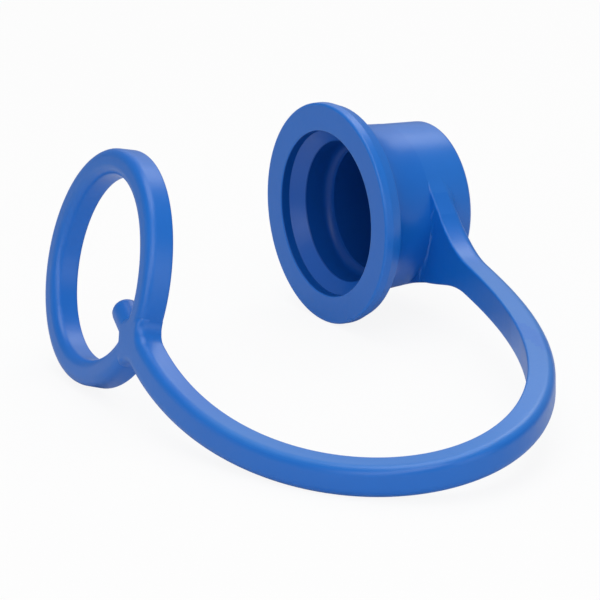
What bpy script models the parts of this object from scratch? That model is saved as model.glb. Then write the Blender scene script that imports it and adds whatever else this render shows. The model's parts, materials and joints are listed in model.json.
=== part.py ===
# Dust cap for a quick coupling, moulded in one piece from flexible blue vinyl.
#
# A flared cup closes the coupling's nose. A tether of about square section runs from a root plate near the
# cup's closed end to a ring that stays round the hose. The tether is bent back in a U, so that the ring
# faces the mouth, and the piece rests on its rim, its bow and its ring.
#
# Frame: metres, +Z up, the floor at Z = 0. The cup's mouth looks towards -X and the bow reaches towards -Y.
# The origin is the middle of the underside of the bounding box.

import math

import bmesh
import bpy
from mathutils import Matrix, Quaternion, Vector

mm = 0.001

# The moulding's common section, seen on the ring, the tether and the root plate. Its flat side lies in the
# plane where the mould's halves meet, so it is widest there, with nearly sharp edges. The other is rounded.
section_thickness = 4.25 * mm
outer_round = 1.45 * mm
inner_round = 0.4 * mm
draft = math.tan(math.radians(2.2))

# Cup, inside: a plain mouth, a cone that leads the nose in, a grip land, a rounded shoulder and the deep
# bore. Depths run from the mouth along the axis.
grip_radius = 11.6 * mm
grip_length = 3.2 * mm
mouth_depth = 1.6 * mm
mouth_round = 0.3 * mm
lead_in_length = 2.0 * mm
lead_in_rise = 2.0 * mm
mouth_radius = grip_radius + lead_in_rise
shoulder_length = 1.4 * mm
shoulder_drop = 1.4 * mm
bore_radius = grip_radius - shoulder_drop
bore_corner = 1.0 * mm
end_wall = 1.4 * mm

# Cup, outside.
rim_breadth = 4.6 * mm
rim_radius = mouth_radius + rim_breadth
rim_land = 1.5 * mm
rim_width = 3.4 * mm
rim_drop = 0.6 * mm
rim_step = 0.3 * mm
rim_round = 0.35 * mm
flare_drop = 1.0 * mm
flare_start_radius = rim_radius - rim_drop - flare_drop
cup_wall = 1.82 * mm
cup_radius = grip_radius + cup_wall
cup_end_round = 0.8 * mm
cup_pitch = math.radians(1.6)

# Root plate. Its flat front is in the parting plane, where the cup's flare ends.
plate_depth = 14.2 * mm
parting_depth = plate_depth - section_thickness / 2
end_run = 3.9 * mm
cup_length = parting_depth + section_thickness + end_run
plate_droop = math.radians(16.8)
plate_flare = 45.0 * mm
plate_blend = 19.0 * mm
plate_angle = math.radians(21.4)
root_sink = 0.06 * mm
root_run = 1.0 * mm

# Ring. The tether pulls it out of round where it joins.
ring_radius = 18.7 * mm
ring_band = 4.2 * mm
ring_pull = 1.16 * mm
ring_pull_spread = math.radians(33.5)
ring_ahead = 46.0 * mm
ring_aside = 8.85 * mm
ring_yaw = math.radians(-6.85)
ring_lean = math.radians(14.8)

# Tether.
tether_width = 5.05 * mm
root_lead = 23.65 * mm
bow_handle_x = -12.9 * mm
bow_handle_y = -135.2 * mm
ring_lead = 58.0 * mm
junction_droop = math.radians(23.1)
junction_fillet = 3.5 * mm
tether_roll = math.radians(-5.9)

# Lug: the tether's end, a round finger that stands inside the ring.
lug_radius = 2.3 * mm
lug_length = 6.2 * mm
lug_fillet = 1.2 * mm

# Facets.
turn_steps = 64
ring_steps = 64
root_steps = 6
tether_steps = 56
corner_steps = 3
curve_steps = 9


def clear_scene():
    for obj in list(bpy.data.objects):
        bpy.data.objects.remove(obj, do_unlink=True)


def new_object(name, bm):
    bmesh.ops.recalc_face_normals(bm, faces=bm.faces)
    mesh = bpy.data.meshes.new(name)
    bm.to_mesh(mesh)
    bm.free()
    obj = bpy.data.objects.new(name, mesh)
    bpy.context.scene.collection.objects.link(obj)
    return obj


def helper(obj):
    """Marks a solid that only serves as another one's Boolean operand."""
    obj.hide_render = True
    obj.display_type = "WIRE"
    return obj


def arc(centre, radius, first, last, steps):
    """Points of an arc in a profile plane, angles in degrees, both ends included."""
    angles = [math.radians(first + (last - first) * i / steps) for i in range(steps + 1)]
    return [(centre[0] + radius * math.cos(a), centre[1] + radius * math.sin(a)) for a in angles]


def bezier(handles, t):
    """A point and the direction of travel on a Bezier curve of any degree."""
    points = list(handles)
    while len(points) > 2:
        points = [a.lerp(b, t) for a, b in zip(points, points[1:])]
    return points[0].lerp(points[1], t), (points[1] - points[0]).normalized()


def axis_frame(direction):
    """The turned pieces' frame: X along the direction, Y level and pointing left of it, Z upwards."""
    along = direction.normalized()
    left = Vector((0, 0, 1)).cross(along).normalized()
    return Matrix((along, left, along.cross(left))).transposed()


def turned(name, profile, frame, origin, steps, closed):
    """Spins a (depth, radius) profile about the frame's X axis. An open one starts and ends on the axis."""
    bm = bmesh.new()
    verts = [bm.verts.new((depth, 0, radius)) for depth, radius in profile]
    pairs = list(zip(verts, verts[1:])) + ([(verts[-1], verts[0])] if closed else [])
    edges = [bm.edges.new(pair) for pair in pairs]
    bmesh.ops.spin(bm, geom=verts + edges, cent=(0, 0, 0), axis=(1, 0, 0), angle=math.tau, steps=steps,
                   use_merge=True)
    bmesh.ops.remove_doubles(bm, verts=bm.verts, dist=0.001 * mm)
    bmesh.ops.transform(bm, matrix=Matrix.Translation(origin) @ frame.to_4x4(), verts=bm.verts)
    return new_object(name, bm)


def cup_outside():
    """Profile of the cup's outside: rim, concave flare to the parting plane, tapered wall and flat end."""
    start = Vector((rim_width + rim_step, flare_start_radius))
    end = Vector((parting_depth, cup_radius))
    drop = start.y - end.y
    run = end.x - start.x
    flare = [start, start + Vector((0.05 * run, -0.8 * drop)), end + Vector((-0.52 * run, 0.08 * drop)), end]
    end_radius = cup_radius - draft * (cup_length - parting_depth)
    profile = [(0, 0)]
    profile += arc((rim_round, rim_radius - rim_round), rim_round, 180, 90, 2)
    profile += [(rim_land, rim_radius), (rim_width, rim_radius - rim_drop)]
    profile += [tuple(bezier(flare, i / curve_steps)[0]) for i in range(curve_steps + 1)]
    profile += arc((cup_length - cup_end_round, end_radius - cup_end_round), cup_end_round, 90, 0, 3)
    return profile + [(cup_length, 0)]


def cup_inside():
    """Profile of the cutter that opens the cup."""
    grip_start = mouth_depth + lead_in_length
    shoulder = grip_start + grip_length
    floor = cup_length - end_wall
    lip = mouth_radius + mouth_round
    profile = [(-mouth_radius, 0), (-mouth_radius, lip), (0, lip)]
    profile += arc((mouth_round, lip), mouth_round, -180, -90, 2)[1:]
    profile += [(mouth_depth, mouth_radius), (grip_start, grip_radius), (shoulder, grip_radius)]
    for i in range(1, 5):
        turn = math.pi / 2 * i / 4
        depth = shoulder + shoulder_length * math.sin(turn)
        profile.append((depth, grip_radius - shoulder_drop * (1 - math.cos(turn))))
    profile += arc((floor - bore_corner, bore_radius - bore_corner), bore_corner, 90, 0, 3)
    return profile + [(floor, 0)]


def rounded_section(half_width, half_height, outer, inner):
    """Outline of the moulding's section, tapered by the draft, its edges as round as its size allows."""
    corners = ((1, 1, outer), (-1, 1, outer), (-1, -1, inner), (1, -1, inner))
    outline = []
    for quarter, (side, top, edge) in enumerate(corners):
        radius = min(edge, 0.98 * half_width, 0.98 * half_height)
        corner = (side * (half_width - radius), top * (half_height - radius))
        outline += arc(corner, radius, 90 * quarter, 90 * quarter + 90, corner_steps)
    return [(across * (1 - draft * up / half_width), up) for across, up in outline]


def pulled_ring(name, axis, steps):
    """Spins the ring about the origin, draws it out towards the tether and leans it onto its axis."""
    middle = ring_radius - ring_band / 2
    section = rounded_section(ring_band / 2, section_thickness / 2, outer_round, inner_round)
    outline = [(-up, middle + across) for across, up in section]
    ring = turned(name, outline, Matrix.Identity(3), (0, 0, 0), steps, True)
    pull_way = math.atan2(-math.sin(junction_droop), -math.cos(junction_droop))
    for vert in ring.data.vertices:
        _, level, up = vert.co
        away = math.atan2(up, level) - pull_way
        away = (away + math.pi) % math.tau - math.pi
        radius = math.hypot(level, up)
        vert.co.yz = vert.co.yz * (1 + ring_pull * math.exp(-(away / ring_pull_spread) ** 2) / radius)
    ring.data.transform(axis_frame(axis).to_4x4())
    return ring


class Flank:
    """The side of a bar that leaves a round body in a tangent arc and draws in to its width in another."""

    def __init__(self, round_radius, flare, blend, angle):
        self.half = tether_width / 2
        self.flare = flare
        self.blend = blend
        self.centre_height = self.half + blend + (flare - blend) * math.cos(angle)
        self.centre_reach = math.sqrt((round_radius + flare) ** 2 - self.centre_height ** 2)
        self.start = self.centre_reach * round_radius / (round_radius + flare)
        self.change = self.centre_reach - flare * math.sin(angle)
        self.end = self.centre_reach - (flare - blend) * math.sin(angle)

    def half_width(self, reach):
        """Half width of the bar at a distance from the round body's axis."""
        if reach >= self.end:
            return self.half
        if reach >= self.change:
            return self.half + self.blend - math.sqrt(self.blend ** 2 - (self.end - reach) ** 2)
        reach = max(reach, self.start)
        return self.centre_height - math.sqrt(self.flare ** 2 - (self.centre_reach - reach) ** 2)


class Tether:
    """The tether's route and sections, from inside the cup's wall to the lug's tip inside the ring."""

    def __init__(self, mouth, cup_axis, ring_centre, ring_axis, bow_z):
        self.cup_axis = cup_axis
        self.ring_axis = ring_axis
        self.cup_out = self.radial(cup_axis, plate_droop)
        self.ring_out = self.radial(ring_axis, junction_droop)
        self.root_radius = cup_radius - draft * section_thickness / 2 - root_sink
        self.tip = ring_radius + ring_pull
        self.plate = mouth + cup_axis * plate_depth
        self.ring_centre = ring_centre
        start = self.plate + self.cup_out * (self.root_radius + root_run)
        end = ring_centre + self.ring_out * self.tip
        self.handles = [start, self.plate + self.cup_out * (self.root_radius + root_lead),
                        Vector((mouth.x + bow_handle_x, mouth.y + bow_handle_y, bow_z)),
                        end + self.ring_out * ring_lead, end]
        self.root = Flank(self.root_radius, plate_flare, plate_blend, plate_angle)
        self.curve = self.tip ** 2 / (self.tip + 2 * ring_pull / ring_pull_spread ** 2)
        self.junction = Flank(self.curve, junction_fillet, junction_fillet, 0)

    @staticmethod
    def radial(axis, droop):
        """The direction square to an axis that leaves it towards -Y and droops below the level."""
        level = axis.cross(Vector((0, 0, 1))).normalized()
        return level * math.cos(droop) - level.cross(axis) * math.sin(droop)

    def stations(self):
        """(point, direction, half width, half height, outer and inner edge radius) of each section."""
        size = (section_thickness / 2, outer_round, inner_round)
        outside = self.root_radius + root_run
        found = []
        for i in range(root_steps):
            reach = self.root.start + (outside - self.root.start) * i / root_steps
            point = self.plate + self.cup_out * reach
            found.append((point, self.cup_out, self.root.half_width(reach), *size))
        shares = [i / tether_steps for i in range(tether_steps + 1)]
        route = [bezier(self.handles, (share + math.sin(math.pi / 2 * share) ** 2) / 2) for share in shares]
        run = [0.0]
        for (here, _), (there, _) in zip(route, route[1:]):
            run.append(run[-1] + (there - here).length)
        for (point, way), done in zip(route, run):
            ahead = self.curve + run[-1] - done
            width = max(self.root.half_width(outside + done), self.junction.half_width(ahead))
            found.append((point, way, width, *size))
        for i in (0.3, 0.6):
            depth = i * ring_band
            found.append((self.handles[-1] - self.ring_out * depth, -self.ring_out,
                          self.junction.half_width(self.curve - depth), *size))
        return found + self.lug_stations()

    def lug_stations(self):
        """Sections through the ring's band and along the lug, which is round and ends in half a ball."""
        inner = self.tip - ring_band
        ball = inner - lug_length + lug_radius
        rows = []
        for i in range(5):
            turn = math.pi / 2 * i / 4
            rows.append((inner + lug_fillet * (0.5 - math.sin(turn)),
                         lug_radius + lug_fillet * (1 - math.sin(turn)), lug_radius))
        for i in range(1, 6):
            turn = math.pi / 2 * min(i / 5, 0.97)
            rows.append((ball - lug_radius * math.sin(turn),) + (lug_radius * math.cos(turn),) * 2)
        return [(self.ring_centre + self.ring_out * reach, -self.ring_out, width,
                 min(height, section_thickness / 2), lug_radius, lug_radius)
                for reach, width, height in rows]

    def sections(self):
        """The corners of each section, carried along the route and turned to meet the ring's axis."""
        stations = self.stations()
        ways = [station[1] for station in stations]
        outward = [self.cup_axis - ways[0] * self.cup_axis.dot(ways[0])]
        for way, next_way in zip(ways, ways[1:]):
            outward.append(way.rotation_difference(next_way) @ outward[-1])
        last_way = ways[-1]
        goal = -self.ring_axis - last_way * -self.ring_axis.dot(last_way)
        missing = outward[-1].angle(goal) * (1 if outward[-1].cross(goal).dot(last_way) > 0 else -1)
        run = [0.0]
        for here, there in zip(stations, stations[1:]):
            run.append(run[-1] + (there[0] - here[0]).length)
        whole = run[root_steps + tether_steps]
        found = []
        for (point, way, *size), out, done in zip(stations, outward, run):
            share = min(done / whole, 1)
            turn = missing * share + tether_roll * math.sin(math.pi * share) ** 2
            out = (Quaternion(way, turn) @ out).normalized()
            side = way.cross(out)
            found.append([point + side * across + out * up for across, up in rounded_section(*size)])
        return found

    def lowest(self):
        """The lowest level that the bow's sections reach."""
        free = self.sections()[root_steps:root_steps + tether_steps]
        return min(corner.z for section in free for corner in section)


def settled_tether(mouth, cup_axis, ring_centre, ring_axis):
    """Lowers or lifts the bow's handle until the bow just lies on the floor."""
    low, high = -4 * rim_radius, 4 * rim_radius
    for _ in range(30):
        level = (low + high) / 2
        if Tether(mouth, cup_axis, ring_centre, ring_axis, level).lowest() < 0:
            low = level
        else:
            high = level
    return Tether(mouth, cup_axis, ring_centre, ring_axis, high)


def tether_solid(tether):
    """Bridges the tether's sections into one closed bar."""
    bm = bmesh.new()
    before = None
    ends = []
    for section in tether.sections():
        loop = [bm.verts.new(corner) for corner in section]
        edges = [bm.edges.new(pair) for pair in zip(loop, loop[1:] + loop[:1])]
        if before:
            bmesh.ops.bridge_loops(bm, edges=before + edges)
        else:
            ends.append(loop)
        before = edges
    ends.append(loop)
    for end in ends:
        bm.faces.new(end)
    return new_object("tether", bm)


def vinyl():
    material = bpy.data.materials.new("blue_vinyl")
    material.use_nodes = True
    shader = material.node_tree.nodes["Principled BSDF"]
    shader.inputs["Base Color"].default_value = (0.02, 0.13, 0.50, 1)
    shader.inputs["Roughness"].default_value = 0.45
    shader.inputs["Metallic"].default_value = 0
    return material


def combine(body, other, operation):
    boolean = body.modifiers.new(f"{operation.lower()} {other.name}", "BOOLEAN")
    boolean.operation = operation
    boolean.solver = "EXACT"
    boolean.object = helper(other)


def main():
    clear_scene()
    cup_axis = Vector((math.cos(cup_pitch), 0, -math.sin(cup_pitch)))
    mouth = Vector((0, 0, rim_radius * math.cos(cup_pitch) + rim_land * math.sin(cup_pitch)))
    cup_frame = axis_frame(cup_axis)
    ring_axis = Vector((math.cos(ring_yaw) * math.cos(ring_lean), math.sin(ring_yaw) * math.cos(ring_lean),
                        -math.sin(ring_lean)))
    ring = pulled_ring("ring", ring_axis, ring_steps)
    ring_centre = Vector((-ring_ahead, -ring_aside, -min(vert.co.z for vert in ring.data.vertices)))
    ring.data.transform(Matrix.Translation(ring_centre))

    cap = turned("dust_cap", cup_outside(), cup_frame, mouth, turn_steps, False)
    tether = tether_solid(settled_tether(mouth, cup_axis, ring_centre, ring_axis))
    bore = turned("bore", cup_inside(), cup_frame, mouth, turn_steps, False)
    combine(cap, tether, "UNION")
    combine(cap, ring, "UNION")
    combine(cap, bore, "DIFFERENCE")

    bpy.context.view_layer.update()
    shape = cap.evaluated_get(bpy.context.evaluated_depsgraph_get()).to_mesh()
    corners = [vert.co for vert in shape.vertices]
    middle = [(min(c[i] for c in corners) + max(c[i] for c in corners)) / 2 for i in range(2)]
    floor = min(c.z for c in corners)
    for obj in (cap, ring, tether, bore):
        obj.location = (-middle[0], -middle[1], -floor)
    cap.data.materials.append(vinyl())
    cap.data.shade_smooth()
    cap.data.set_sharp_from_angle(angle=math.radians(35))


main()
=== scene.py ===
import json
import math

import bmesh
import bpy
from mathutils import Matrix, Quaternion, Vector


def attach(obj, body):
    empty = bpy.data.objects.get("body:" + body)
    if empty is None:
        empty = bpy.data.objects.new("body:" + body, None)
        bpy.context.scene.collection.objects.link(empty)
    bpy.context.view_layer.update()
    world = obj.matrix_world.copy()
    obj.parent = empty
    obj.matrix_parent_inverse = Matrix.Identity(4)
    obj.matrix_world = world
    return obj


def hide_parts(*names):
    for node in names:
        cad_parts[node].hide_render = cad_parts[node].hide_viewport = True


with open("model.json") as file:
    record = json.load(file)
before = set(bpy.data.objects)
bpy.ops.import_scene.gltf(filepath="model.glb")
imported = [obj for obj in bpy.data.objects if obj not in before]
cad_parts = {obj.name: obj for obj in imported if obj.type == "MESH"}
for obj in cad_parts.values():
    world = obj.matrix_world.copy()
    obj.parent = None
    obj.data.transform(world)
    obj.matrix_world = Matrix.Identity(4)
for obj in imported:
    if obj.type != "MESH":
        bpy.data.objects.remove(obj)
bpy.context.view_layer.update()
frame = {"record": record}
print("frame loaded")

mm = 0.001
weldDistance = 0.001 * mm
mounts = {mount["name"]: mount for mount in frame["record"]["mounts"]}


# Helpers that every part of the moulding uses.

def arcPoints(centre, radius, first, last, steps):    # both ends included, angles in degrees
    angles = [math.radians(first + (last - first) * i / steps) for i in range(steps + 1)]
    return [(centre[0] + radius * math.cos(a), centre[1] + radius * math.sin(a)) for a in angles]


def bezierPoint(handles, t):
    points = list(handles)
    while len(points) > 2:
        points = [a.lerp(b, t) for a, b in zip(points, points[1:])]
    return points[0].lerp(points[1], t), (points[1] - points[0]).normalized()


def sinePoints(steps):    # sine and cosine of a quarter turn, in equal steps
    turns = [math.pi / 2 * i / steps for i in range(steps + 1)]
    return [(math.sin(turn), math.cos(turn)) for turn in turns]


def axisFrame(direction):
    along = direction.normalized()
    left = Vector((0, 0, 1)).cross(along).normalized()
    return Matrix((along, left, along.cross(left))).transposed()


def meshObject(name, bm):
    bmesh.ops.remove_doubles(bm, verts=bm.verts, dist=weldDistance)
    bmesh.ops.recalc_face_normals(bm, faces=bm.faces)
    mesh = bpy.data.meshes.new(name)
    bm.to_mesh(mesh)
    bm.free()
    piece = bpy.data.objects.new(name, mesh)
    bpy.context.scene.collection.objects.link(piece)
    return piece


def spunObject(name, profile, turn, origin, steps, closed):
    bm = bmesh.new()
    verts = [bm.verts.new((depth, 0, radius)) for depth, radius in profile]
    pairs = list(zip(verts, verts[1:])) + ([(verts[-1], verts[0])] if closed else [])
    edges = [bm.edges.new(pair) for pair in pairs]
    bmesh.ops.spin(bm, geom=verts + edges, cent=(0, 0, 0), axis=(1, 0, 0), angle=math.tau, steps=steps,
                   use_merge=True)
    bmesh.ops.transform(bm, matrix=Matrix.Translation(origin) @ turn.to_4x4(), verts=bm.verts)
    return meshObject(name, bm)


# The cup: rim, concave flare, tapered wall and flat closed end. Depths run from the mouth along its axis.

draft = math.tan(math.radians(2.2))

cupSizes = {
    "rimRadius": 18.2 * mm,
    "rimLand": 1.5 * mm,
    "rimWidth": 3.4 * mm,
    "rimDrop": 0.6 * mm,
    "rimRound": 0.45 * mm,
    "rimRoundSteps": 6,
    "rimBackRound": 0.3 * mm,
    "rimBackTurn": 72,          # degrees that its round takes, from the tapered back to the rim's back
    "rimBackSteps": 4,
    "rimCrease": 0.12 * mm,     # half of the soft corner between the land and the tapered back
    "rimLedge": 0.25 * mm,      # from the rim's back to the start of the flare, along the axis
    "flareDrop": 1.0 * mm,      # and the same inwards
    "flareStart": (0.05, -0.8),     # the curve's two handles, as shares of its run and drop
    "flareEnd": (-0.52, 0.08),
    "flareSteps": 24,
    "partingDepth": 12.075 * mm,
    "partingStep": 0.04 * mm,
    "partingRun": 0.02 * mm,    # of the step, along the axis
    "wallRadius": 13.42 * mm,   # at the parting plane, where the mould's halves meet
    "length": 20.225 * mm,
    "endRound": 0.8 * mm,
    "endRoundSteps": 8,
    "steps": 200,               # round the axis
}


def cupProfile():
    c = cupSizes
    backRadius = c["rimRadius"] - c["rimDrop"]
    taper = (c["rimRadius"] - backRadius) / (c["rimWidth"] - c["rimLand"])
    profile = [(0, 0)]
    rimCentre = (c["rimRound"], c["rimRadius"] - c["rimRound"])
    profile += arcPoints(rimCentre, c["rimRound"], 180, 90, c["rimRoundSteps"])
    profile += [(c["rimLand"] - c["rimCrease"], c["rimRadius"]),
                (c["rimLand"] + c["rimCrease"], c["rimRadius"] - taper * c["rimCrease"])]
    backCentre = (c["rimWidth"] - c["rimBackRound"], backRadius - c["rimBackRound"])
    profile += arcPoints(backCentre, c["rimBackRound"], c["rimBackTurn"], 0, c["rimBackSteps"])
    start = Vector((c["rimWidth"] + c["rimLedge"], backRadius - c["flareDrop"]))
    end = Vector((c["partingDepth"], c["wallRadius"] + c["partingStep"]))
    span = Vector((end.x - start.x, start.y - end.y))
    flare = [start, start + Vector(c["flareStart"]) * span, end + Vector(c["flareEnd"]) * span, end]
    profile += [tuple(bezierPoint(flare, i / c["flareSteps"])[0]) for i in range(c["flareSteps"] + 1)]
    profile += [(c["partingDepth"] + c["partingRun"], c["wallRadius"])]
    endRadius = c["wallRadius"] - draft * (c["length"] - c["partingDepth"])
    endCentre = (c["length"] - c["endRound"], endRadius - c["endRound"])
    profile += arcPoints(endCentre, c["endRound"], 90, 0, c["endRoundSteps"])
    return profile + [(c["length"], 0)]


# The bore: plain mouth, cone that leads the nose in, grip land, rounded shoulder and deep bore.

boreSizes = {
    "mouthRadius": 13.6 * mm,
    "mouthDepth": 1.6 * mm,
    "mouthRound": 0.3 * mm,
    "mouthRoundSteps": 5,
    "gripRadius": 11.6 * mm,
    "leadIn": 2.0 * mm,
    "gripLength": 3.2 * mm,
    "boreRadius": 10.2 * mm,
    "shoulder": 1.4 * mm,
    "shoulderSteps": 8,
    "endWall": 1.4 * mm,
    "corner": 1.0 * mm,
    "cornerSteps": 8,
    "soft": 0.1 * mm,           # the small facet at the edges of the cone
    "softMouth": 0.3,           # share of it that the facet falls at the mouth's depth
    "softGrip": 0.5,            # share of it that the facet runs on along the grip land
    "softEnd": 2,               # how many of it the land's last point lies before the shoulder
    "steps": 180,               # round the axis
}


def boreProfile():
    b = boreSizes
    lip = b["mouthRadius"] + b["mouthRound"]
    gripStart = b["mouthDepth"] + b["leadIn"]
    gripEnd = gripStart + b["gripLength"]
    floor = cupSizes["length"] - b["endWall"]
    rise = b["gripRadius"] - b["boreRadius"]
    profile = [(-b["mouthRadius"], 0), (-b["mouthRadius"], lip), (0, lip)]
    profile += arcPoints((b["mouthRound"], lip), b["mouthRound"], -180, -90, b["mouthRoundSteps"])[1:]
    profile += [(b["mouthDepth"] - b["soft"], b["mouthRadius"]),
                (b["mouthDepth"], b["mouthRadius"] - b["softMouth"] * b["soft"]),
                (gripStart - b["soft"], b["gripRadius"] + b["soft"]),
                (gripStart + b["softGrip"] * b["soft"], b["gripRadius"]),
                (gripEnd - b["softEnd"] * b["soft"], b["gripRadius"])]
    for sine, cosine in sinePoints(b["shoulderSteps"]):
        profile.append((gripEnd + b["shoulder"] * sine, b["gripRadius"] - rise * (1 - cosine)))
    cornerCentre = (floor - b["corner"], b["boreRadius"] - b["corner"])
    profile += arcPoints(cornerCentre, b["corner"], 90, 0, b["cornerSteps"])
    return profile + [(floor, 0)]


# The section that the ring, the tether and the root plate share: flat with crisp edges on the side where the
# mould's halves meet, which is the inside of the bow, and well rounded on the other.

sectionSizes = {
    "thickness": 4.25 * mm,
    "outerRound": 1.45 * mm,
    "innerRound": 0.4 * mm,
    "roundLimit": 0.98,     # the most of a half width that an edge's round may take
    "cornerSteps": 8,
    "flatSteps": 6,
}


def sectionOutline(halfWidth, halfHeight, outerRound, innerRound):
    s = sectionSizes
    limit = s["roundLimit"] * min(halfWidth, halfHeight)
    corners = []
    for quarter, (across, up, edge) in enumerate(((1, 1, outerRound), (-1, 1, outerRound),
                                                  (-1, -1, innerRound), (1, -1, innerRound))):
        edge = min(edge, limit)
        centre = (across * (halfWidth - edge), up * (halfHeight - edge))
        corners.append(arcPoints(centre, edge, 90 * quarter, 90 * quarter + 90, s["cornerSteps"]))
    outline = []
    for here, there in zip(corners, corners[1:] + corners[:1]):
        outline += here
        first, last = Vector(here[-1]), Vector(there[0])
        outline += [tuple(first.lerp(last, i / s["flatSteps"])) for i in range(1, s["flatSteps"])]
    return [(across * (1 - draft * up / halfWidth), up) for across, up in outline]


# The ring, drawn out of round where the tether pulls it.

ringSizes = {
    "radius": 18.7 * mm,
    "band": 4.2 * mm,
    "ahead": 46.0 * mm,                 # of the mouth, to the ring's centre
    "aside": 8.85 * mm,
    "yaw": math.radians(-6.85),
    "lean": math.radians(14.8),
    "pull": 1.16 * mm,                  # how far the tether draws it out, and over which angle
    "pullSpread": math.radians(33.5),
    "droop": math.radians(23.1),        # of the tether's junction, below the level of the centre
    "steps": 200,
}


def ringObject(name, axis):
    r, s = ringSizes, sectionSizes
    middle = r["radius"] - r["band"] / 2
    outline = sectionOutline(r["band"] / 2, s["thickness"] / 2, s["outerRound"], s["innerRound"])
    profile = [(-up, middle + out) for out, up in outline]
    ring = spunObject(name, profile, Matrix.Identity(3), (0, 0, 0), r["steps"], True)
    pullWay = math.atan2(-math.sin(r["droop"]), -math.cos(r["droop"]))
    for vert in ring.data.vertices:
        level, up = vert.co.yz
        away = (math.atan2(up, level) - pullWay + math.pi) % math.tau - math.pi
        pull = r["pull"] * math.exp(-(away / r["pullSpread"]) ** 2)
        vert.co.yz = vert.co.yz * (1 + pull / math.hypot(level, up))
    ring.data.transform(axisFrame(axis).to_4x4())
    return ring


# The tether: root plate, bow, flare into the ring, and the lug that stands inside the ring.

tetherSizes = {
    "width": 5.05 * mm,
    "plateDepth": 14.2 * mm,            # of the plate's middle, from the mouth
    "plateDroop": math.radians(16.8),
    "rootSink": 0.03 * mm,              # into the cup's wall
    "rootRun": 1.0 * mm,                # from the wall to where the curve starts
    "rootLead": 23.65 * mm,             # from the wall to the curve's second handle
    "rootFillet": 0.45 * mm,
    "bowHandle": (-12.9 * mm, -135.2 * mm, -2.727 * mm),    # from the mouth
    "ringLead": 58.0 * mm,              # from the ring to the curve's last handle but one
    "roll": math.radians(-5.9),
    "junctionSink": 0.6,                # share of the band that the tether runs into the ring
    "lugRadius": 2.3 * mm,
    "lugLength": 6.2 * mm,
    "lugFillet": 1.2 * mm,
    "lugSink": 0.5,                     # share of its fillet that the lug starts inside the band
    "lugTip": 0.985,                    # share of the quarter turn where the tip's flat end is
    "rootSteps": 34,
    "steps": 150,
    "junctionSteps": 10,
    "filletSteps": 8,
    "tipSteps": 12,
}

# A flank is the side of a bar that leaves a round body in a tangent arc and draws in to its width in another.

plateFlank = {"flare": 45.0 * mm, "blend": 19.0 * mm, "angle": math.radians(21.4)}
junctionFlank = {"flare": 3.5 * mm, "blend": 3.5 * mm, "angle": 0}


def flankStart(roundRadius, flank):
    half = tetherSizes["width"] / 2
    height = half + flank["blend"] + (flank["flare"] - flank["blend"]) * math.cos(flank["angle"])
    reach = math.sqrt((roundRadius + flank["flare"]) ** 2 - height ** 2)
    return reach, height, reach * roundRadius / (roundRadius + flank["flare"])


def flankWidth(distance, roundRadius, flank):
    half = tetherSizes["width"] / 2
    flare, blend = flank["flare"], flank["blend"]
    reach, height, first = flankStart(roundRadius, flank)
    last = reach - (flare - blend) * math.sin(flank["angle"])
    if distance >= last:
        return half
    if distance >= reach - flare * math.sin(flank["angle"]):
        return half + blend - math.sqrt(blend ** 2 - (last - distance) ** 2)
    return height - math.sqrt(flare ** 2 - (reach - max(distance, first)) ** 2)


def radialOut(axis, droop):
    level = axis.cross(Vector((0, 0, 1))).normalized()
    return level * math.cos(droop) - level.cross(axis) * math.sin(droop)


# A station is a section's point, direction, half width, half height, and outer and inner edge radius.

def lugRows(inner, half):    # distance from the ring's centre, half width and half height
    t = tetherSizes
    ball = inner - t["lugLength"] + t["lugRadius"]
    rows = []
    for sine, _ in sinePoints(t["filletSteps"]):
        rows.append((inner + t["lugFillet"] * (t["lugSink"] - sine),
                     t["lugRadius"] + t["lugFillet"] * (1 - sine), half))
    for i in range(1, t["tipSteps"] + 1):
        turn = math.pi / 2 * min(i / t["tipSteps"], t["lugTip"])
        size = t["lugRadius"] * math.cos(turn)
        rows.append((ball - t["lugRadius"] * math.sin(turn), size, min(size, half)))
    return rows


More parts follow.
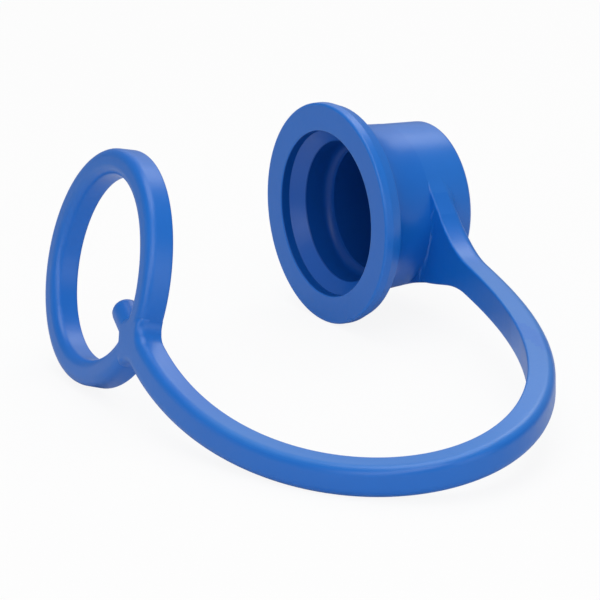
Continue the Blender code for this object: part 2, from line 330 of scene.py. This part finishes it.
def tetherStations(mouth, cupAxis, ringCentre, ringAxis):
    t, s, r = tetherSizes, sectionSizes, ringSizes
    half = s["thickness"] / 2
    edges = (s["outerRound"], s["innerRound"])
    rootRadius = cupSizes["wallRadius"] - draft * half - t["rootSink"]
    cupOut, ringOut = radialOut(cupAxis, t["plateDroop"]), radialOut(ringAxis, r["droop"])
    plate = mouth + cupAxis * t["plateDepth"]
    inside = flankStart(rootRadius, plateFlank)[2]
    outside = rootRadius + t["rootRun"]
    stations = []
    for i in range(t["rootSteps"]):
        reach = inside + (outside - inside) * i / t["rootSteps"]
        width = flankWidth(reach, rootRadius, plateFlank)
        stations.append((plate + cupOut * reach, cupOut, width, half, *edges))
    tip = r["radius"] + r["pull"]
    curve = tip ** 2 / (tip + 2 * r["pull"] / r["pullSpread"] ** 2)    # radius of the ring's drawn-out side
    handles = [plate + cupOut * outside,
               plate + cupOut * (rootRadius + t["rootLead"]),
               mouth + Vector(t["bowHandle"]),
               ringCentre + ringOut * (tip + t["ringLead"]),
               ringCentre + ringOut * tip]
    # The shares are spread so that the sections lie closer at both ends, where the width changes.
    shares = [i / t["steps"] for i in range(t["steps"] + 1)]
    route = [bezierPoint(handles, (share + math.sin(math.pi / 2 * share) ** 2) / 2) for share in shares]
    run = [0.0]
    for (here, _), (there, _) in zip(route, route[1:]):
        run.append(run[-1] + (there - here).length)
    for (point, way), done in zip(route, run):
        width = max(flankWidth(outside + done, rootRadius, plateFlank),
                    flankWidth(curve + run[-1] - done, curve, junctionFlank))
        stations.append((point, way, width, half, *edges))
    for i in range(1, t["junctionSteps"] + 1):
        depth = t["junctionSink"] * r["band"] * i / t["junctionSteps"]
        width = flankWidth(curve - depth, curve, junctionFlank)
        stations.append((ringCentre + ringOut * (tip - depth), -ringOut, width, half, *edges))
    lugEdges = (t["lugRadius"], t["lugRadius"])
    for reach, width, height in lugRows(tip - r["band"], half):
        stations.append((ringCentre + ringOut * reach, -ringOut, width, height, *lugEdges))
    return stations


# Each station's outward direction is carried along the route and turned to meet the ring's axis.

def tetherFrames(stations, cupAxis, ringAxis):
    t = tetherSizes
    ways = [station[1] for station in stations]
    outward = [cupAxis - ways[0] * cupAxis.dot(ways[0])]
    for way, nextWay in zip(ways, ways[1:]):
        outward.append(way.rotation_difference(nextWay) @ outward[-1])
    goal = -ringAxis - ways[-1] * -ringAxis.dot(ways[-1])
    missing = outward[-1].angle(goal) * (1 if outward[-1].cross(goal).dot(ways[-1]) > 0 else -1)
    run = [0.0]
    for here, there in zip(stations, stations[1:]):
        run.append(run[-1] + (there[0] - here[0]).length)
    whole = run[t["rootSteps"] + t["steps"]]
    turned = []
    for way, out, done in zip(ways, outward, run):
        share = min(done / whole, 1)
        turn = missing * share + t["roll"] * math.sin(math.pi * share) ** 2
        turned.append((Quaternion(way, turn) @ out).normalized())
    return turned


def tetherObject(name, mouth, cupAxis, ringCentre, ringAxis):
    fillet = tetherSizes["rootFillet"]
    stations = tetherStations(mouth, cupAxis, ringCentre, ringAxis)
    bm = bmesh.new()
    loops = []
    before = None
    for (point, way, *size), out in zip(stations, tetherFrames(stations, cupAxis, ringAxis)):
        side = way.cross(out)
        loop = []
        for across, up in sectionOutline(*size):
            foot = point + side * across - mouth
            gap = (foot - cupAxis * foot.dot(cupAxis)).length - cupSizes["wallRadius"]
            short = fillet - min(max(gap, 0), fillet)
            rise = fillet - math.sqrt(fillet ** 2 - short ** 2)
            rise *= min(max((size[0] - abs(across)) / (2 * fillet), 0), 1)
            loop.append(bm.verts.new(mouth + foot + out * (up + math.copysign(rise, up))))
        edges = [bm.edges.new(pair) for pair in zip(loop, loop[1:] + loop[:1])]
        if before:
            bmesh.ops.bridge_loops(bm, edges=before + edges)
        before = edges
        loops.append(loop)
    for loop in (loops[0], loops[-1]):
        bm.faces.new(loop)
    return meshObject(name, bm)


# The moulding: cup, tether and ring in one, with the bore cut out.

mouldingSizes = {
    "merge": 0.002 * mm,
    "sharpAngle": math.radians(32),
    "normalWeight": 50,
}


def fuse(body, other, operation):
    boolean = body.modifiers.new(operation.lower(), "BOOLEAN")
    boolean.operation = operation
    boolean.solver = "EXACT"
    boolean.object = other


def buildMoulding():
    m, r = mouldingSizes, ringSizes
    flat = math.cos(r["lean"])
    ringAxis = Vector((math.cos(r["yaw"]) * flat, math.sin(r["yaw"]) * flat, -math.sin(r["lean"])))
    moulding = spunObject("cap_moulding", cupProfile(), axisFrame(cupAxis), mouth, cupSizes["steps"], False)
    ring = ringObject("ring_helper", ringAxis)
    lowest = min(vert.co.z for vert in ring.data.vertices)
    ringCentre = Vector((mouth.x - r["ahead"], mouth.y - r["aside"], -lowest))
    ring.data.transform(Matrix.Translation(ringCentre))
    tether = tetherObject("tether_helper", mouth, cupAxis, ringCentre, ringAxis)
    bore = spunObject("bore_helper", boreProfile(), axisFrame(cupAxis), mouth, boreSizes["steps"], False)
    print("solids made")
    fuse(moulding, tether, "UNION")
    fuse(moulding, ring, "UNION")
    fuse(moulding, bore, "DIFFERENCE")
    bpy.context.view_layer.update()
    graph = bpy.context.evaluated_depsgraph_get()
    fused = bpy.data.meshes.new_from_object(moulding.evaluated_get(graph))
    moulding.modifiers.clear()
    moulding.data = fused
    for helper in (ring, tether, bore):
        bpy.data.objects.remove(helper)
    bm = bmesh.new()
    bm.from_mesh(fused)
    bmesh.ops.remove_doubles(bm, verts=bm.verts, dist=m["merge"])
    bmesh.ops.dissolve_degenerate(bm, edges=bm.edges, dist=m["merge"])
    bm.to_mesh(fused)
    bm.free()
    fused.shade_smooth()
    fused.set_sharp_from_angle(angle=m["sharpAngle"])
    weighted = moulding.modifiers.new("weighted normals", "WEIGHTED_NORMAL")
    weighted.keep_sharp = True
    weighted.weight = m["normalWeight"]
    print("moulding fused:", len(fused.polygons), "faces")
    return moulding, ringCentre


cupAxis = Vector(mounts["closed_end"]["axis"]).normalized()
mouth = Vector(mounts["closed_end"]["pos_m"]) - cupAxis * cupSizes["length"]
moulding, ringCentre = buildMoulding()


# Blue vinyl: satin, with a fine moulded grain, a faint orange peel and slight clouds in colour and gloss.

vinylSizes = {
    "deepBlue": (0.002, 0.126, 0.520, 1),
    "lightBlue": (0.004, 0.144, 0.575, 1),
    "plainTint": (1.0, 1.0, 1.0),
    "mouthPaintedShade": (0.8, 0.48, 0.56),     # painted shade on the plain wall behind the mouth's edge
    "conePaintedShade": (0.9, 0.70, 0.80),      # painted shade on the cone that leads the nose in
    "borePaintedShade": (0.8, 0.45, 0.56),      # painted shade on the grip land and all that lies deeper
    "rearPaintedSheen": (3.2, 1.10, 1.03),      # painted sheen that makes the mould's rear half and the closed end lighter
    "rimPaintedLight": (2.5, 1.12, 1.06),       # painted light that makes the rim's outer band lighter
    "flankPaintedSheen": (7.0, 1.30, 1.06),     # painted sheen that makes the bow's level-lying flanks paler than its inside and outside
    "flankSlant": (0.5, 0.9),           # how level a face is where that starts and where it is full
    "flankRun": 12.0 * mm,              # over which it fades in, going away from the cup and the ring
    "flankStart": 18.0 * mm,            # outside the ring, where it begins
    "plainSheen": 0.5,
    "faceSheen": 0.38,                  # the rim's front is duller
    "boreSheen": 0.22,                  # little of the room is mirrored in the bore
    "reach": 0.40 * mm,                 # how near to a surface a face's middle lies to belong to it
    "ior": 1.5,
    "roughness": (0.30, 0.40),
    "cloudScale": 70,
    "glossScale": 140,
    "bumps": ((420, 0.03 * mm), (2600, 0.006 * mm)),    # scale and height of the peel and of the grain
    "cloudDetail": 3,
    "glossDetail": 4,
    "bumpDetail": 2,
}


def vinylMaterial():
    v = vinylSizes
    material = bpy.data.materials.new("blue_vinyl_skin")
    material.use_nodes = True
    nodes, links = material.node_tree.nodes, material.node_tree.links
    shader = nodes["Principled BSDF"]
    shader.inputs["IOR"].default_value = v["ior"]
    place = nodes.new("ShaderNodeTexCoord")

    def noise(scale, detail):
        node = nodes.new("ShaderNodeTexNoise")
        node.inputs["Scale"].default_value = scale
        node.inputs["Detail"].default_value = detail
        links.new(place.outputs["Object"], node.inputs["Vector"])
        return node.outputs["Fac"]

    def faceValue(name, output):
        node = nodes.new("ShaderNodeAttribute")
        node.attribute_name = name
        return node.outputs[output]

    colour = nodes.new("ShaderNodeMix")
    colour.data_type = "RGBA"
    colour.inputs["A"].default_value = v["deepBlue"]
    colour.inputs["B"].default_value = v["lightBlue"]
    links.new(noise(v["cloudScale"], v["cloudDetail"]), colour.inputs["Factor"])
    # Each face's colour is multiplied by its painted light: painted shade in the bore, painted sheen and
    # light on the rear wall, the rim's band and the bow's flanks.
    toned = nodes.new("ShaderNodeVectorMath")
    toned.operation = "MULTIPLY"
    links.new(colour.outputs["Result"], toned.inputs[0])
    links.new(faceValue("paintedLight", "Vector"), toned.inputs[1])
    links.new(toned.outputs["Vector"], shader.inputs["Base Color"])
    links.new(faceValue("sheen", "Fac"), shader.inputs["Specular IOR Level"])
    gloss = nodes.new("ShaderNodeMapRange")
    gloss.inputs["To Min"].default_value, gloss.inputs["To Max"].default_value = v["roughness"]
    links.new(noise(v["glossScale"], v["glossDetail"]), gloss.inputs["Value"])
    links.new(gloss.outputs["Result"], shader.inputs["Roughness"])
    normal = None
    for scale, height in v["bumps"]:
        bump = nodes.new("ShaderNodeBump")
        bump.inputs["Distance"].default_value = height
        links.new(noise(scale, v["bumpDetail"]), bump.inputs["Height"])
        if normal:
            links.new(normal, bump.inputs["Normal"])
        normal = bump.outputs["Normal"]
    links.new(normal, shader.inputs["Normal"])
    return material


# Which painted shade or painted light a place on the moulding gets, by its depth behind the mouth and its
# distance from the cup's axis.

def paintedLightName(along, radius):
    b, c, reach = boreSizes, cupSizes, vinylSizes["reach"]
    cone = b["mouthRadius"] - max(0, along - b["mouthDepth"])
    ending = along > c["length"] - c["endRound"]
    inside = not ending and radius < max(cone, b["gripRadius"]) + reach
    onWall = along > c["partingDepth"] and abs(radius - c["wallRadius"]) < reach
    # The wall behind the parting plane and the closed end get a painted sheen.
    if ending or onWall:
        return "rearPaintedSheen"
    # The rim's outer band gets painted light.
    if 0 < along < c["rimWidth"] and radius > c["rimRadius"] - c["flareDrop"]:
        return "rimPaintedLight"
    # Inside the mouth the colour carries painted shade, darkest from the grip land inwards.
    if inside and along > b["mouthDepth"] + b["leadIn"] - reach:
        return "borePaintedShade"
    if inside and along > b["mouthDepth"]:
        return "conePaintedShade"
    if inside and along > b["mouthRound"] / 2:
        return "mouthPaintedShade"
    return "plainTint"


# How much painted sheen a face of the bow gets: full where it lies level, fading in away from the cup and the
# ring.
def flankShare(face, radius):
    v = vinylSizes
    slant, fullSlant = v["flankSlant"]
    level = (abs(face.normal.z) - slant) / (fullSlant - slant)
    fromCup = radius - cupSizes["rimRadius"]
    fromRing = (face.center - ringCentre).length - ringSizes["radius"] - v["flankStart"]
    share = 1
    for part in (level, fromCup / v["flankRun"], fromRing / v["flankRun"]):
        share *= min(max(part, 0), 1)
    return share


def paintLightOnFaces():
    v = vinylSizes
    # flank holds the painted sheen of the bow's level-lying flanks.
    plain, flank = Vector(v["plainTint"]), Vector(v["flankPaintedSheen"])
    marks = moulding.data.attributes
    marks.new("paintedLight", "FLOAT_VECTOR", "FACE")
    marks.new("sheen", "FLOAT", "FACE")
    paintedLights, sheens = marks["paintedLight"].data, marks["sheen"].data    # fetched only once both are made
    for face in moulding.data.polygons:
        along = (face.center - mouth).dot(cupAxis)
        radius = (face.center - mouth - cupAxis * along).length
        name = paintedLightName(along, radius)
        paintedLight = plain.lerp(flank, flankShare(face, radius)) if name == "plainTint" else v[name]
        onFront = abs(along) < boreSizes["mouthRound"] / 2 and radius < cupSizes["rimRadius"]
        sheen = "faceSheen" if onFront else "plainSheen"
        if name in ("borePaintedShade", "mouthPaintedShade"):
            sheen = "boreSheen"
        paintedLights[face.index].vector = paintedLight
        sheens[face.index].value = v[sheen]


paintLightOnFaces()
moulding.data.materials.clear()
moulding.data.materials.append(vinylMaterial())
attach(moulding, "root")
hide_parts("dust_cap")
print("vinyl made")


# Floor, world, lamps and camera.

stageSizes = {
    "floorSize": 4.0,
    "floorColour": (0.80, 0.80, 0.80, 1),
    "floorRoughness": 0.9,
    "floorSheen": 0.1,
    "whiteShare": 0.90,         # of plain white in what the camera sees of the floor
    "white": (1, 1, 1, 1),
    "worldStrength": 0.29,      # for all rays but the camera's
    "backgroundStrength": 1.0,
}


def buildFloor():
    g = stageSizes
    bm = bmesh.new()
    bmesh.ops.create_grid(bm, x_segments=1, y_segments=1, size=g["floorSize"] / 2)
    floor = meshObject("floor", bm)
    material = bpy.data.materials.new("pale_floor")
    material.use_nodes = True
    nodes, links = material.node_tree.nodes, material.node_tree.links
    shader = nodes["Principled BSDF"]
    shader.inputs["Base Color"].default_value = g["floorColour"]
    shader.inputs["Roughness"].default_value = g["floorRoughness"]
    shader.inputs["Specular IOR Level"].default_value = g["floorSheen"]
    white = nodes.new("ShaderNodeEmission")
    path = nodes.new("ShaderNodeLightPath")
    share = nodes.new("ShaderNodeMath")
    share.operation = "MULTIPLY"
    share.inputs[1].default_value = g["whiteShare"]
    mix = nodes.new("ShaderNodeMixShader")
    links.new(path.outputs["Is Camera Ray"], share.inputs[0])
    links.new(share.outputs[0], mix.inputs["Fac"])
    links.new(shader.outputs["BSDF"], mix.inputs[1])
    links.new(white.outputs["Emission"], mix.inputs[2])
    links.new(mix.outputs["Shader"], nodes["Material Output"].inputs["Surface"])
    floor.data.materials.append(material)


def buildWorld():
    g = stageSizes
    world = bpy.data.worlds.new("studio")
    world.use_nodes = True
    bpy.context.scene.world = world
    nodes, links = world.node_tree.nodes, world.node_tree.links
    path = nodes.new("ShaderNodeLightPath")
    strength = nodes.new("ShaderNodeMapRange")
    strength.inputs["To Min"].default_value = g["worldStrength"]
    strength.inputs["To Max"].default_value = g["backgroundStrength"]
    links.new(path.outputs["Is Camera Ray"], strength.inputs["Value"])
    links.new(strength.outputs["Result"], nodes["Background"].inputs["Strength"])
    nodes["Background"].inputs["Color"].default_value = g["white"]


# Places are in metres from the mouth, and each lamp is a disk that faces it.

lampSizes = {
    "overhead": {"place": (-0.01, -0.01, 0.59), "size": 0.50, "power": 1.60},
    "overheadBack": {"place": (0.33, 0.21, 0.49), "size": 0.30, "power": 0.62},
    "frontHigh": {"place": (-0.28, -0.44, 0.44), "size": 0.40, "power": 0.95},
    "frontLeft": {"place": (-0.55, -0.33, 0.22), "size": 0.40, "power": 0.71},
    "frontRight": {"place": (0.13, -0.63, 0.19), "size": 0.40, "power": 0.50},
    "backdropGlow": {"place": (0.30, 0.50, 0.39), "size": 0.55, "power": 0.42},
    "leftGlow": {"place": (-0.56, 0.33, 0.11), "size": 0.40, "power": 0.15},
}


def buildLamps():
    for name, lamp in lampSizes.items():
        light = bpy.data.lights.new(name, "AREA")
        light.shape = "DISK"
        light.size = lamp["size"]
        light.energy = lamp["power"]
        holder = bpy.data.objects.new(name, light)
        bpy.context.scene.collection.objects.link(holder)
        holder.location = mouth + Vector(lamp["place"])
        holder.rotation_euler = (mouth - holder.location).to_track_quat("-Z", "Y").to_euler()


cameraSizes = {
    "azimuth": math.radians(328),
    "elevation": math.radians(17),
    "distance": 0.70,
    "aim": (-12.82 * mm, -12.80 * mm, -9.32 * mm),      # from the mouth
    "lens": 262.5,
    "sensor": 36,
}


def buildCamera():
    c = cameraSizes
    camera = bpy.data.cameras.new("camera")
    camera.sensor_width = c["sensor"]
    camera.lens = c["lens"]
    holder = bpy.data.objects.new("camera", camera)
    bpy.context.scene.collection.objects.link(holder)
    flat = math.cos(c["elevation"])
    forward = Vector((-math.sin(c["azimuth"]) * flat, math.cos(c["azimuth"]) * flat,
                      -math.sin(c["elevation"])))
    holder.location = mouth + Vector(c["aim"]) - forward * c["distance"]
    holder.rotation_euler = forward.to_track_quat("-Z", "Y").to_euler()
    bpy.context.scene.camera = holder


buildFloor()
buildWorld()
buildLamps()
buildCamera()
bpy.context.scene.view_settings.view_transform = "Standard"
print("stage, lamps and camera made")
